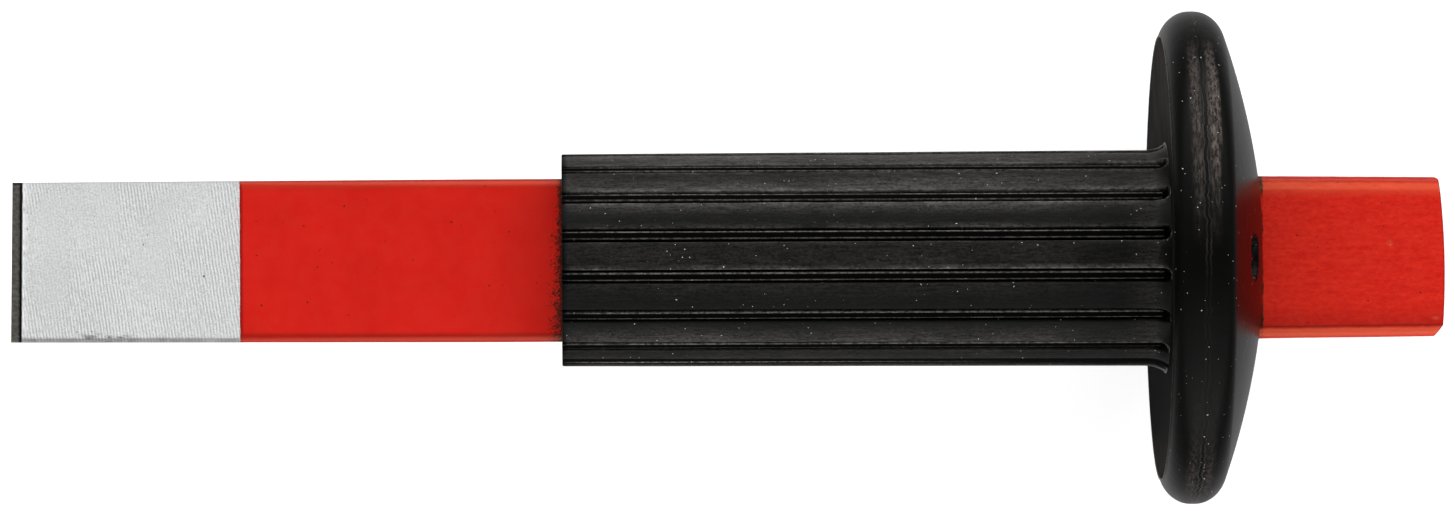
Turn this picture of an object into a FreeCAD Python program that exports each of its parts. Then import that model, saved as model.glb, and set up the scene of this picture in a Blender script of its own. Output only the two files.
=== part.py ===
import FreeCAD, Part
import math
import os

# Flat cold chisel with a push-on hand guard.
#
# Frame: +X runs along the bar from the cutting edge to the struck end, +Z is the
# normal of the bar's wide face, and the origin is on the bar's axis at mid-length.
# Every station named X_ below is a distance from the cutting edge along the bar.
# Lengths are in millimetres, angles in degrees.

Vector = FreeCAD.Vector

# Driving dimensions of the forged bar.
LENGTH = 240.0
BAR_WIDTH = 27.3
BAR_THICKNESS = 7.0
BAR_CORNER_RADIUS = 1.3
TIP_WIDTH = 26.75
TIP_THICKNESS = 2.3
TIP_CORNER_RADIUS = 0.45
HEAD_END_WIDTH = 26.8
HEAD_CORNER_RADIUS = 2.0
X_TAPER_END = 78.0
X_SHANK_END = 196.0
X_HEAD = 210.0

# The ground cutting bevel, and how far out of square the edge is across the width.
BEVEL_LENGTH = 1.8
EDGE_FLAT = 0.16
EDGE_SKEW = 0.35

# The struck end: crowned, furthest out at CROWN_Y, with the -Y corner dubbed off.
CROWN_Y = -2.64
CROWN_DROP = 0.9
CROWN_DROP_DUBBED = 0.3
END_CHAMFER = 0.4
DUBBED_CORNER_X = 1.2
DUBBED_CORNER_Y = 1.9

# Driving dimensions of the moulded grip and guard.
X_GRIP_START = 92.2
GRIP_RADIUS_START = 17.8
GRIP_RADIUS_END = 18.1
GRIP_END_ROUND = 0.25
X_GUARD_ROOT = 193.3
FLARE_LENGTH = 3.4
FLARE_ROUND = 5.8
GUARD_RADIUS = 41.4
RIM_ROUND = 5.36
X_RIM_CENTRE = 197.7
RIDGE_ANGLE = 167.0
CONE_START_ANGLE = 24.0
CONE_MID = (206.45, 25.3)
CONE_END = (208.77, 13.0)
X_HUB = 209.4

# The bore follows the bar's section with running clearance all round.
BORE_CLEARANCE = 0.15

# Sixteen lengthwise slots in the grip, each with a raised bead standing in it.
SLOT_COUNT = 16
SLOT_PHASE = 13.4
SLOT_WIDTH = 2.35
SLOT_FLOOR_RADIUS = 16.7
X_SLOT_END = 193.2
BEAD_WIDTH = 1.4
BEAD_TOP_RADIUS = 17.75
BEAD_EDGE_ROUND = 0.3
X_BEAD_END = 192.4

# One round gate recess in the back of the guard, with the stub of the sprue in it.
GATE_RADIUS = 3.85
GATE_DEPTH = 1.1
GATE_HEIGHT = 24.5
GATE_STUB_RADIUS = 1.3
GATE_STUB_HEIGHT = 0.7

# Small amounts by which one cutting or joining solid runs past another.
OVERRUN = 1.0


def rounded_rectangle(x, width, thickness, radius):
    """The bar's closed section outline at station x, with rounded corners."""
    half_y = width / 2
    half_z = thickness / 2
    corners = [(1, 1, 0), (-1, 1, 90), (-1, -1, 180), (1, -1, 270)]
    points = []
    for side_y, side_z, start in corners:
        centre_y = side_y * (half_y - radius)
        centre_z = side_z * (half_z - radius)
        arc = []
        for turn in (0, 45, 90):
            angle = math.radians(start + turn)
            y = centre_y + radius * math.cos(angle)
            z = centre_z + radius * math.sin(angle)
            arc.append(Vector(x, y, z))
        points.append(arc)
    edges = []
    for i, arc in enumerate(points):
        following = points[(i + 1) % len(points)]
        edges.append(Part.Arc(*arc).toShape())
        edges.append(Part.makeLine(arc[2], following[0]))
    return Part.Wire(edges)


def prism(points, direction):
    """A closed straight-sided outline, extruded along a vector."""
    outline = Part.makePolygon(points + points[:1])
    return Part.Face(outline).extrude(direction)


def with_true_planes(solid):
    """The same solid, with a plane under each flat face that the loft made as a spline."""
    faces = []
    for face in solid.Faces:
        plane = face.findPlane()
        if plane is not None:
            outward = face.normalAt(*face.Surface.parameter(face.CenterOfMass))
            face = Part.Face(plane, face.OuterWire)
            if face.normalAt(0, 0).dot(outward) < 0:
                face.reverse()
        faces.append(face)
    return Part.makeSolid(Part.makeShell(faces))


def forged_blank():
    """The bar before grinding: a thin tip, a taper to full stock, the shank and the head."""
    sections = [
        rounded_rectangle(-OVERRUN, TIP_WIDTH, TIP_THICKNESS, TIP_CORNER_RADIUS),
        rounded_rectangle(X_TAPER_END, BAR_WIDTH, BAR_THICKNESS, BAR_CORNER_RADIUS),
        rounded_rectangle(X_SHANK_END, BAR_WIDTH, BAR_THICKNESS, BAR_CORNER_RADIUS),
        rounded_rectangle(X_HEAD, BAR_WIDTH, BAR_THICKNESS, HEAD_CORNER_RADIUS),
        rounded_rectangle(LENGTH + OVERRUN, HEAD_END_WIDTH, BAR_THICKNESS, HEAD_CORNER_RADIUS),
    ]
    return with_true_planes(Part.makeLoft(sections, True, True))


def side_envelope():
    """What grinding leaves, seen from the side: the bevel at the edge, the chamfers at the end."""
    half_edge = EDGE_FLAT / 2
    half_tip = TIP_THICKNESS / 2
    half_bar = BAR_THICKNESS / 2
    half_bevel = half_tip + (half_bar - half_tip) * BEVEL_LENGTH / X_TAPER_END
    tall = BAR_THICKNESS
    slope = (half_bevel - half_edge) / BEVEL_LENGTH
    x_clear = (tall - half_edge) / slope
    upper = [
        (0, half_edge),
        (x_clear, tall),
        (LENGTH - END_CHAMFER - (tall - half_bar), tall),
        (LENGTH, half_bar - END_CHAMFER),
    ]
    lower = [(x, -z) for x, z in reversed(upper)]
    depth = BAR_WIDTH + 2 * OVERRUN
    skew = EDGE_SKEW * depth / TIP_WIDTH
    x_first = (EDGE_SKEW - skew) / 2
    start = [Vector(x_first + x, -depth / 2, z) for x, z in upper + lower]
    return prism(start, Vector(skew, depth, 0))


def plan_envelope():
    """What grinding leaves, seen on the wide face: the crowned end and its dubbed corner."""
    clear = BAR_WIDTH
    z = -BAR_THICKNESS
    half_end = HEAD_END_WIDTH / 2
    x_top = LENGTH - CROWN_DROP
    x_dubbed = LENGTH - CROWN_DROP_DUBBED
    outside = clear - half_end
    start = Vector(-OVERRUN, clear, z)
    top = Vector(x_top - END_CHAMFER - outside, clear, z)
    top_end = Vector(x_top, half_end - END_CHAMFER, z)
    crown = Vector(LENGTH, CROWN_Y, z)
    dubbed_end = Vector(x_dubbed, DUBBED_CORNER_Y - half_end, z)
    x_bottom = x_dubbed - (DUBBED_CORNER_Y + outside) * DUBBED_CORNER_X / DUBBED_CORNER_Y
    bottom = Vector(x_bottom, -clear, z)
    last = Vector(-OVERRUN, -clear, z)
    edges = [
        Part.makeLine(start, top),
        Part.makeLine(top, top_end),
        Part.Arc(top_end, crown, dubbed_end).toShape(),
        Part.makeLine(dubbed_end, bottom),
        Part.makeLine(bottom, last),
        Part.makeLine(last, start),
    ]
    return Part.Face(Part.Wire(edges)).extrude(Vector(0, 0, 2 * BAR_THICKNESS))


def chisel_bar():
    """The whole steel bar: cutting edge, blade, shank through the grip, and struck head."""
    return forged_blank().common(side_envelope()).common(plan_envelope())


def flare_at(run):
    """The radius of the grip's flare, a run of that length from where the flare begins."""
    return GRIP_RADIUS_END + FLARE_ROUND - math.sqrt(FLARE_ROUND**2 - run**2)


def guard_profile():
    """Half of the moulding's section, from the grip's free end to the hub, closed on the axis."""

    def at(x, radius):
        return Vector(x, 0, radius)

    def rim(angle):
        turn = math.radians(angle)
        x = X_RIM_CENTRE + RIM_ROUND * math.cos(turn)
        return at(x, GUARD_RADIUS - RIM_ROUND + RIM_ROUND * math.sin(turn))

    x_flare = X_GUARD_ROOT - FLARE_LENGTH
    half_flare = FLARE_LENGTH / 2
    axis_start = at(X_GRIP_START, 0)
    face_low = at(X_GRIP_START, GRIP_RADIUS_START - GRIP_END_ROUND)
    face_high = at(X_GRIP_START + GRIP_END_ROUND, GRIP_RADIUS_START)
    flare_low = at(x_flare, GRIP_RADIUS_END)
    flare_middle = at(x_flare + half_flare, flare_at(half_flare))
    flare_high = at(X_GUARD_ROOT, flare_at(FLARE_LENGTH))
    ridge = rim(RIDGE_ANGLE)
    outermost = rim(90)
    cone_start = rim(CONE_START_ANGLE)
    cone_end = at(*CONE_END)
    hub = at(X_HUB, 0)
    edges = [
        Part.makeLine(axis_start, face_low),
        Part.makeLine(face_low, face_high),
        Part.makeLine(face_high, flare_low),
        Part.Arc(flare_low, flare_middle, flare_high).toShape(),
        Part.makeLine(flare_high, ridge),
        Part.Arc(ridge, outermost, cone_start).toShape(),
        Part.Arc(cone_start, at(*CONE_MID), cone_end).toShape(),
        Part.makeLine(cone_end, hub),
        Part.makeLine(hub, axis_start),
    ]
    return Part.Face(Part.Wire(edges))


def stadium(x_start, x_end, width, z):
    """A flat strip at height z along the +Z side: square at its start, round at its end."""
    half = width / 2
    x_round = x_end - half
    left_start = Vector(x_start, half, z)
    left_end = Vector(x_round, half, z)
    tip = Vector(x_end, 0, z)
    right_end = Vector(x_round, -half, z)
    right_start = Vector(x_start, -half, z)
    edges = [
        Part.makeLine(right_start, right_end),
        Part.Arc(right_end, tip, left_end).toShape(),
        Part.makeLine(left_end, left_start),
        Part.makeLine(left_start, right_start),
    ]
    return Part.Face(Part.Wire(edges))


def slot_cutter():
    """One slot of the grip, cut down from above the +Z side, with a round far end."""
    strip = stadium(X_GRIP_START - OVERRUN, X_SLOT_END, SLOT_WIDTH, SLOT_FLOOR_RADIUS)
    depth = flare_at(FLARE_LENGTH) + OVERRUN - SLOT_FLOOR_RADIUS
    return strip.extrude(Vector(0, 0, depth))


def bead():
    """The raised bead in one slot, rooted under the slot's floor, with its top edges rounded."""
    root = SLOT_FLOOR_RADIUS - OVERRUN
    strip = stadium(X_GRIP_START, X_BEAD_END, BEAD_WIDTH, root)
    solid = strip.extrude(Vector(0, 0, BEAD_TOP_RADIUS - root))
    long_edges = []
    for edge in solid.Edges:
        box = edge.BoundBox
        at_top = box.ZMin > BEAD_TOP_RADIUS - BEAD_EDGE_ROUND
        if at_top and box.XMax - X_GRIP_START > BEAD_WIDTH:
            long_edges.append(edge)
    return solid.makeFillet(BEAD_EDGE_ROUND, long_edges)


def around_the_grip(shape):
    """Copies of a shape made at the +Z side, turned about the bar's axis to every slot."""
    copies = []
    for i in range(SLOT_COUNT):
        turned = shape.copy()
        # A positive turn about +X carries +Z towards -Y, so the phase is taken off.
        angle = -SLOT_PHASE + i * 360 / SLOT_COUNT
        turned.rotate(Vector(0, 0, 0), Vector(1, 0, 0), angle)
        copies.append(turned)
    return copies


def bar_bore():
    """The hole for the bar, right through the moulding."""
    gap = 2 * BORE_CLEARANCE
    outline = rounded_rectangle(
        X_GRIP_START - OVERRUN,
        BAR_WIDTH + gap,
        BAR_THICKNESS + gap,
        BAR_CORNER_RADIUS + BORE_CLEARANCE,
    )
    run = X_HUB - X_GRIP_START + 2 * OVERRUN
    return Part.Face(outline).extrude(Vector(run, 0, 0))


def cone_surface():
    """The station and the outward normal of the guard's back at the height of the gate."""
    (x_mid, r_mid), (x_end, r_end) = CONE_MID, CONE_END
    slope = (x_mid - x_end) / (r_mid - r_end)
    x = x_mid + slope * (GATE_HEIGHT - r_mid)
    normal = Vector(1, 0, -slope)
    normal.normalize()
    return Vector(x, 0, GATE_HEIGHT), normal


def gate_recess():
    """The round well that is taken out of the guard's back."""
    centre, normal = cone_surface()
    floor = centre - normal * GATE_DEPTH
    return Part.makeCylinder(GATE_RADIUS, GATE_DEPTH + 2 * OVERRUN, floor, normal)


def gate_stub():
    """The cut stub of the sprue, standing on the well's floor."""
    centre, normal = cone_surface()
    root = centre - normal * (GATE_DEPTH + OVERRUN)
    return Part.makeCylinder(GATE_STUB_RADIUS, GATE_STUB_HEIGHT + OVERRUN, root, normal)


def hand_guard():
    """The one-piece moulding: ribbed grip, mushroom guard, bore and gate."""
    solid = guard_profile().revolve(Vector(0, 0, 0), Vector(1, 0, 0), 360)
    solid = solid.cut(gate_recess()).fuse(gate_stub())
    solid = solid.cut(around_the_grip(slot_cutter()))
    solid = solid.fuse(around_the_grip(bead()))
    return solid.cut(bar_bore()).removeSplitter()


def one_solid(shape):
    """The shape as one plain solid, or an error if it isn't one."""
    if len(shape.Solids) != 1 or not shape.isValid():
        raise ValueError("expected one valid solid, got %d" % len(shape.Solids))
    return shape.Solids[0]


def main():
    os.makedirs("parts", exist_ok=True)
    to_origin = Vector(-LENGTH / 2, 0, 0)
    for name, make in (("chisel_bar", chisel_bar), ("hand_guard", hand_guard)):
        solid = one_solid(make())
        solid.translate(to_origin)
        solid.exportStep("parts/%s.step" % name)
        box = solid.BoundBox
        print(name, "volume %.0f mm3" % solid.Volume)
        print("  x %.2f..%.2f" % (box.XMin, box.XMax), end="")
        print("  y %.2f..%.2f" % (box.YMin, box.YMax), end="")
        print("  z %.2f..%.2f" % (box.ZMin, box.ZMax))


main()
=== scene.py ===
import math

import bpy
import numpy as np
from mathutils import Matrix, Vector, noise


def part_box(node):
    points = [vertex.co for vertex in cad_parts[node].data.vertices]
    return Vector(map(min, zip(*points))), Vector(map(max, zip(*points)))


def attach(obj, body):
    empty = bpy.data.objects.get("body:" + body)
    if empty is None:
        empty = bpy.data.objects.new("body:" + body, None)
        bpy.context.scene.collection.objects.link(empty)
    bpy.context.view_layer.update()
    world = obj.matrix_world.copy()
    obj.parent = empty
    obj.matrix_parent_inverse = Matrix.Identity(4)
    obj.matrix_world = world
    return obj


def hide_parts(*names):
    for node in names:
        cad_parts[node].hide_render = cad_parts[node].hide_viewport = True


# A flat cold chisel: one lacquered steel bar and one moulded rubber hand guard.
# The meshes are worked out in millimetres, with x measured from the cutting edge,
# and go into Blender in metres in the model's own frame.

MM = 0.001

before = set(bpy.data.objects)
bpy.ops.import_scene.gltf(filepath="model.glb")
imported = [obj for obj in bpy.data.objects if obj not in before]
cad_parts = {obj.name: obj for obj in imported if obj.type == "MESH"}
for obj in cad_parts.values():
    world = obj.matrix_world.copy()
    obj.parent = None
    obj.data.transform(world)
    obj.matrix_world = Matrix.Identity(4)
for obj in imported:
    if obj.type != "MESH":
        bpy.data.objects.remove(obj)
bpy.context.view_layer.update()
bar_low, bar_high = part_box("chisel_bar")
guard_low, guard_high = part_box("hand_guard")

# Overall sizes, read from the frame.
X_EDGE = bar_low.x / MM
LENGTH = (bar_high.x - bar_low.x) / MM
BAR_WIDTH = (bar_high.y - bar_low.y) / MM
BAR_THICKNESS = (bar_high.z - bar_low.z) / MM
X_GRIP_START = guard_low.x / MM - X_EDGE
GUARD_RADIUS = guard_high.y / MM

# The bar: its section near the cutting edge and at the head, and the stations where its
# section or its finish changes.
TIP_WIDTH = 26.75
TIP_THICKNESS = 2.3
TIP_CORNER_RADIUS = 0.45
BAR_CORNER_RADIUS = 1.3
HEAD_END_WIDTH = 26.8
HEAD_CORNER_RADIUS = 2.0
X_SILVER_END = 38.4
X_TAPER_END = 78.0
X_SHANK_END = 196.0
X_HEAD = 210.0

# The cutting edge: its bevel, the flat left on it, and how far out of square it stands.
BEVEL_LENGTH = 1.8
EDGE_FLAT = 0.16
EDGE_SKEW = 0.35
SKEW_REACH = 8.0

# The struck end: its crown, the chamfer on one corner and the dubbed other corner.
CROWN_Y = -2.64
CROWN_CURVE = 0.00382
END_CHAMFER = 0.4
DUBBED_CORNER_X = 1.2
DUBBED_CORNER_Y = 1.9
HEAD_BULGE = 0.05

# Chips in the head: x, y, radius and depth. Then the painted highlights in them: x, y, and the
# factors on the distances from there along x and y.
CHIPS = [(LENGTH - 9.1, 2.3, 0.55, 0.3), (LENGTH - 1.6, -9.8, 0.7, 0.18)]
CHIP_HIGHLIGHTS = [(LENGTH - 9.1, 2.3, 1.0, 0.8), (LENGTH - 1.4, -10.3, 0.7, 1.0)]

# The narrow facet broken off each long edge: its breadth and slope on the blade, and what
# the shank and the head's two edges add to them.
FACET_BLADE = 0.1
FACET_SHANK_MORE = 0.9
FACET_HEAD_UPPER_MORE = 1.25
FACET_HEAD_LOWER_MORE = 0.85
FACET_SLOPE = 0.12
FACET_SLOPE_HEAD_MORE = 0.22

# The grip and guard. Angles round the rim are in degrees from +X towards the outside.
GRIP_RADIUS_START = 17.8
GRIP_RADIUS_END = 18.1
GRIP_END_ROUND = 0.25
LEAD_IN = 0.25
X_GUARD_ROOT = 193.3
FLARE_LENGTH = 3.4
FLARE_ROUND = 5.8
RIM_ROUND = 5.36
X_RIM_CENTRE = 197.7
RIDGE_ANGLE = 167.0
CONE_START_ANGLE = 24.0
CONE_MID = (206.45, 25.3)
CONE_END = (208.77, 13.0)
CONE_OUTER_RADIUS = 37.9
ROUND_DOWN_TO = 16.5
BORE_MOUTH = 0.25
X_HUB = 209.4
BORE_CLEARANCE = 0.15

# The grip's slots and the beads that stand in them.
SLOT_COUNT = 16
SLOT_PHASE = 13.4
SLOT_HALF = 1.175
SLOT_FLOOR = 16.7
SLOT_WALL = 0.2
SLOT_LIP = 0.05
LIP_ROLL = 0.3
LIP_DROP = 0.05
LIP_PLACE = 0.09
LIP_BREADTH = 0.15
RIB_PLACE = 0.12
X_SLOT_END = 193.2
BEAD_HALF = 0.7
BEAD_TOP = 17.75
BEAD_ROUND = 0.26
X_BEAD_END = 192.4

# The gate recess in the guard's back.
GATE_RADIUS = 3.85
GATE_DEPTH = 1.1
GATE_HEIGHT = 24.5
GATE_STUB_RADIUS = 1.3
GATE_STUB_HEIGHT = 0.7


def smooth(value, low, high):
    """0 below low, 1 above high, and a smooth step between them."""
    t = np.clip((value - low) / (high - low), 0.0, 1.0)
    return t * t * (3 - 2 * t)


def spaced(stops):
    """Stations through (position, step) stops: each step size holds until the next stop."""
    stations = []
    for (start, step), (end, _) in zip(stops, stops[1:]):
        count = max(1, round((end - start) / step))
        stations += [start + (end - start) * i / count for i in range(count)]
    return stations + [stops[-1][0]]


def noise_at(points, scale, seed):
    """Smooth noise, about -1 to 1, at each row of points in mm; scale is the grain size."""
    shift = Vector((seed * 17.3, seed * 5.1, seed * 9.7))
    values = [noise.noise(Vector(p) / scale + shift) for p in points.reshape(-1, 3)]
    return np.array(values).reshape(points.shape[:-1])


def new_piece(name, points, faces, body, node):
    """A mesh object from points in mm, riding on a body in place of a CAD node."""
    mesh = bpy.data.meshes.new(name)
    placed = (points + [X_EDGE, 0, 0]) * MM
    mesh.from_pydata(placed.tolist(), [], faces)
    mesh.polygons.foreach_set("use_smooth", [True] * len(mesh.polygons))
    mesh.update()
    piece = bpy.data.objects.new(name, mesh)
    bpy.context.scene.collection.objects.link(piece)
    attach(piece, body)
    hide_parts(node)
    return piece


def paint(piece, name, values):
    """Stores one number per vertex, for the piece's material to read."""
    layer = piece.data.attributes.new(name, "FLOAT", "POINT")
    layer.data.foreach_set("value", np.asarray(values, dtype=np.float32).ravel())


# ---------------------------------------------------------------- the steel bar

CORNER_STEPS = 6
NARROW_STEPS = 8
# Stops across a wide face, as parts of its width: close together near its two edges.
NEAR_EDGE = [0.0, 0.01, 0.02, 0.03, 0.038, 0.045, 0.052, 0.062, 0.078, 0.1, 0.128]
MIDDLE_STEPS = 50
MIDDLE = 1 - 2 * NEAR_EDGE[-1]
ACROSS = NEAR_EDGE + [NEAR_EDGE[-1] + MIDDLE * k / MIDDLE_STEPS for k in range(1, MIDDLE_STEPS)]
ACROSS += [1 - v for v in NEAR_EDGE[::-1]]
WIDE_STEPS = len(ACROSS) - 1
WIDE_SIDE = WIDE_STEPS + 2 * CORNER_STEPS
NARROW_SIDE = NARROW_STEPS + 2 * CORNER_STEPS
RING = 2 * (WIDE_SIDE + NARROW_SIDE)


def part_way(value, start, end):
    """How far value has gone from start to end, kept within 0 to 1."""
    return min(max((value - start) / (end - start), 0.0), 1.0)


def section_at(x):
    """Half width, half thickness and corner radius of the bar at station x."""
    taper = part_way(x, -1.0, X_TAPER_END)
    width = TIP_WIDTH + (BAR_WIDTH - TIP_WIDTH) * taper
    thickness = TIP_THICKNESS + (BAR_THICKNESS - TIP_THICKNESS) * taper
    radius = TIP_CORNER_RADIUS + (BAR_CORNER_RADIUS - TIP_CORNER_RADIUS) * taper
    width += (HEAD_END_WIDTH - BAR_WIDTH) * part_way(x, X_HEAD, LENGTH + 1.0)
    radius += (HEAD_CORNER_RADIUS - BAR_CORNER_RADIUS) * part_way(x, X_SHANK_END, X_HEAD)
    if x < BEVEL_LENGTH:
        thickness = EDGE_FLAT + (thickness - EDGE_FLAT) * x / BEVEL_LENGTH
        radius = min(radius, 0.9 * thickness / 2)
    return width / 2, thickness / 2, radius


def half_arc(centre_y, centre_z, radius, start):
    """Points along an eighth of a circle, leaving out its last point."""
    turns = np.radians(start + 45.0 * np.arange(CORNER_STEPS) / CORNER_STEPS)
    return [(centre_y + radius * math.cos(t), centre_z + radius * math.sin(t)) for t in turns]


def ring_outline(half_y, half_z, radius):
    """The rounded rectangle as a closed list of (y, z), starting mid-way round a corner."""
    flat_y = half_y - radius
    flat_z = half_z - radius
    corners = [(flat_y, flat_z), (-flat_y, flat_z), (-flat_y, -flat_z), (flat_y, -flat_z)]
    stops = [ACROSS, [k / NARROW_STEPS for k in range(NARROW_STEPS + 1)]]
    outline = []
    for i in range(4):
        centre, after = corners[i], corners[(i + 1) % 4]
        outline += half_arc(*centre, radius, 45 + 90 * i)
        turn = math.radians(90 + 90 * i)
        out_y, out_z = radius * math.cos(turn), radius * math.sin(turn)
        for t in stops[i % 2][:-1]:
            y = centre[0] + (after[0] - centre[0]) * t + out_y
            z = centre[1] + (after[1] - centre[1]) * t + out_z
            outline.append((y, z))
        outline += half_arc(*after, radius, 90 + 90 * i)
    return np.array(outline)


def end_station(y):
    """Where the struck end lies at each y: crowned, with both its corners taken off."""
    half = HEAD_END_WIDTH / 2
    x = LENGTH - CROWN_CURVE * (y - CROWN_Y) ** 2
    into_dubbed = np.maximum(-y - (half - DUBBED_CORNER_Y), 0.0)
    into_other = np.maximum(y - (half - END_CHAMFER), 0.0)
    return x - into_dubbed * DUBBED_CORNER_X / DUBBED_CORNER_Y - into_other


def edge_skew(x, y):
    """How far out of square the bar's rings stand: most at the cutting edge, soon gone."""
    return EDGE_SKEW * (y / TIP_WIDTH + 0.5) * np.maximum(0.0, 1 - x / SKEW_REACH)


def bar_rings():
    """The bar's rings from the cutting edge to the struck end, as an array of points."""
    stations = spaced(
        [
            (0.0, 0.35),
            (BEVEL_LENGTH - 0.4, 0.08),
            (BEVEL_LENGTH + 0.4, 0.9),
            (X_SILVER_END - 0.4, 0.1),
            (X_SILVER_END + 0.8, 1.0),
            (X_GRIP_START - 5.0, 0.4),
            (X_GRIP_START + 1.0, 3.0),
            (X_HUB - 0.4, 0.08),
            (X_HUB + 1.0, 0.32),
            (LENGTH - 2.4, 0.4),
        ]
    )
    rings = []
    # Each ring of the end, as its part of the way out and how much of the chamfer it takes.
    end_rings = ((0.4, 0.0), (0.7, 0.0), (0.83, 0.04), (0.94, 0.25), (1.0, 1.0))
    for x in stations:
        outline = ring_outline(*section_at(x))
        ring = np.column_stack([x + edge_skew(x, outline[:, 0]), outline])
        if abs(x - X_SILVER_END) < 0.45:
            # The line between the two finishes wanders a little.
            ring[:, 0] += 0.09 * noise_at(ring, 1.0, 43) + 0.07 * noise_at(ring, 0.45, 44)
        rings.append(ring)
    last = stations[-1]
    half_y, half_z, radius = section_at(LENGTH)
    for done, inset in end_rings:
        cut = END_CHAMFER * inset
        outline = ring_outline(half_y - cut, half_z - cut, max(radius - cut * 0.6, 0.3))
        end = end_station(outline[:, 0])
        rings.append(np.column_stack([last + (end - last) * done, outline]))
    return np.array(rings)


def cap_grid(ring, bulge):
    """Fills a ring with a grid of points, blended from the ring's four sides."""
    top = ring[: WIDE_SIDE + 1]
    left = ring[WIDE_SIDE : WIDE_SIDE + NARROW_SIDE + 1]
    bottom = ring[WIDE_SIDE + NARROW_SIDE : 2 * WIDE_SIDE + NARROW_SIDE + 1][::-1]
    right = np.vstack([ring[2 * WIDE_SIDE + NARROW_SIDE :], ring[:1]])[::-1]
    u = np.linspace(0, 1, WIDE_SIDE + 1)[None, :, None]
    v = np.linspace(0, 1, NARROW_SIDE + 1)[:, None, None]
    grid = (1 - v) * top[None] + v * bottom[None] + (1 - u) * right[:, None] + u * left[:, None]
    grid -= (1 - u) * (1 - v) * top[0] + u * (1 - v) * top[-1]
    grid -= (1 - u) * v * bottom[0] + u * v * bottom[-1]
    grid[..., 0] += bulge * np.sin(math.pi * v[..., 0]) * np.sin(math.pi * u[..., 0])
    return grid


def grid_faces(rows, columns, index):
    """Quads of a grid of points, where index(row, column) gives each point's number."""
    faces = []
    for i in range(rows):
        for j in range(columns):
            faces.append((index(i, j), index(i, j + 1), index(i + 1, j + 1), index(i + 1, j)))
    return faces


def add_cap(points, faces, ring_start, ring, bulge, flip):
    """Closes one end of the bar: a grid of new points inside, joined to the ring's own."""
    grid = cap_grid(ring, bulge)
    base = len(points)
    rows, columns = NARROW_SIDE, WIDE_SIDE

    def index(i, j):
        if i == 0:
            return ring_start + j
        if j == columns:
            return ring_start + columns + i
        if i == rows:
            return ring_start + 2 * columns + rows - j
        if j == 0:
            return ring_start + (RING - i) % RING
        return base + (i - 1) * (columns - 1) + j - 1

    made = grid_faces(rows, columns, index)
    faces += [f[::-1] for f in made] if flip else made
    return np.vstack([points, grid[1:-1, 1:-1].reshape(-1, 3)])


def dimple(points, x, y, radius, depth):
    """How deep a small round chip in the +Z face is at each point."""
    across = np.hypot(points[..., 0] - x, (points[..., 1] - y) * 1.25)
    return depth * (1 - smooth(across, radius * 0.35, radius)) * (points[..., 2] > 0)


def broken_edges(rings):
    """Takes a narrow facet off each long edge of the wide faces, broader on the head."""
    head = smooth(rings[..., 0], X_SHANK_END, X_HUB)
    shank = smooth(rings[..., 0], X_SILVER_END - 0.4, X_SILVER_END + 0.4)
    upper = rings[..., 1] > 0
    head_more = np.where(upper, FACET_HEAD_UPPER_MORE, FACET_HEAD_LOWER_MORE)
    facet = FACET_BLADE + FACET_SHANK_MORE * shank + head * head_more
    slope = FACET_SLOPE + FACET_SLOPE_HEAD_MORE * head
    half_y, half_z = rings[..., 1].max(axis=1), rings[..., 2].max(axis=1)
    into = np.abs(rings[..., 1]) - (half_y[:, None] - facet)
    limit = half_z[:, None] - slope * np.maximum(into, 0.0)
    done = rings.copy()
    past_bevel = rings[..., 0] > BEVEL_LENGTH
    done[..., 2] = np.where(past_bevel, np.clip(rings[..., 2], -limit, limit), rings[..., 2])
    return done


def forged_surface(rings):
    """Works the surface in from the nominal section: forging waves, streaks and chips.

    Each point moves straight towards a flat core inside the bar.
    """
    head = smooth(rings[..., 0], X_HUB - 3.0, X_HUB + 3.0)
    blade = smooth(rings[..., 0], X_SILVER_END - 0.5, X_SILVER_END + 1.0) * (1 - head)
    broad = noise_at(rings * [0.6, 1.0, 0.2], 7.0, 1)
    streaks = noise_at(rings * [0.22, 1.0, 0.6], 1.1, 2)
    fine = noise_at(rings * [0.6, 1.0, 1.0], 0.9, 3)
    depth = head * (0.06 + 0.05 * broad + 0.030 * streaks + 0.018 * fine)
    depth += blade * (0.02 + 0.014 * broad)
    depth = np.clip(depth, 0.0, None)
    for chip in CHIPS:
        depth += dimple(rings, *chip)
    core = BAR_WIDTH / 2 - 4.0
    middle = np.zeros_like(rings)
    middle[..., 0] = rings[..., 0]
    middle[..., 1] = np.clip(rings[..., 1], -core, core)
    outward = rings - middle
    size = np.linalg.norm(outward, axis=-1, keepdims=True)
    return rings - outward / np.maximum(size, 1e-6) * depth[..., None]


def between(value, rise, full, fade, end):
    """A smooth hill: up from rise to full, then down from fade to end."""
    return smooth(value, rise, full) * (1 - smooth(value, fade, end))


def from_long_edge(points):
    """How far in from the bar's nearer long edge each point lies, with a little wander."""
    stations = [0, X_TAPER_END, X_HEAD, LENGTH]
    widths = [TIP_WIDTH, BAR_WIDTH, BAR_WIDTH, HEAD_END_WIDTH]
    half = np.interp(points[:, 0], stations, widths) / 2
    return half - np.abs(points[:, 1]) + 0.06 * noise_at(points, 1.2, 41)


def shank_edges(inner, upper):
    """The red shank's long edges: a faint painted highlight strip within a strip of painted
    shade.
    """
    upper_light = 0.3 * between(inner, 0.5, 0.7, 0.9, 1.7)
    lower_light = 0.1 * between(inner, 0.1, 0.3, 0.8, 0.9)
    upper_dark = 0.3 + 0.4 * (1 - smooth(inner, 0.3, 0.6))
    lower_dark = 0.4 + 0.3 * smooth(inner, 0.8, 1.0)
    shade_and_dark_marks = np.where(upper, upper_dark, lower_dark) * (1 - smooth(inner, 1.05, 1.9))
    return np.where(upper, upper_light, lower_light), shade_and_dark_marks


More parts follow.
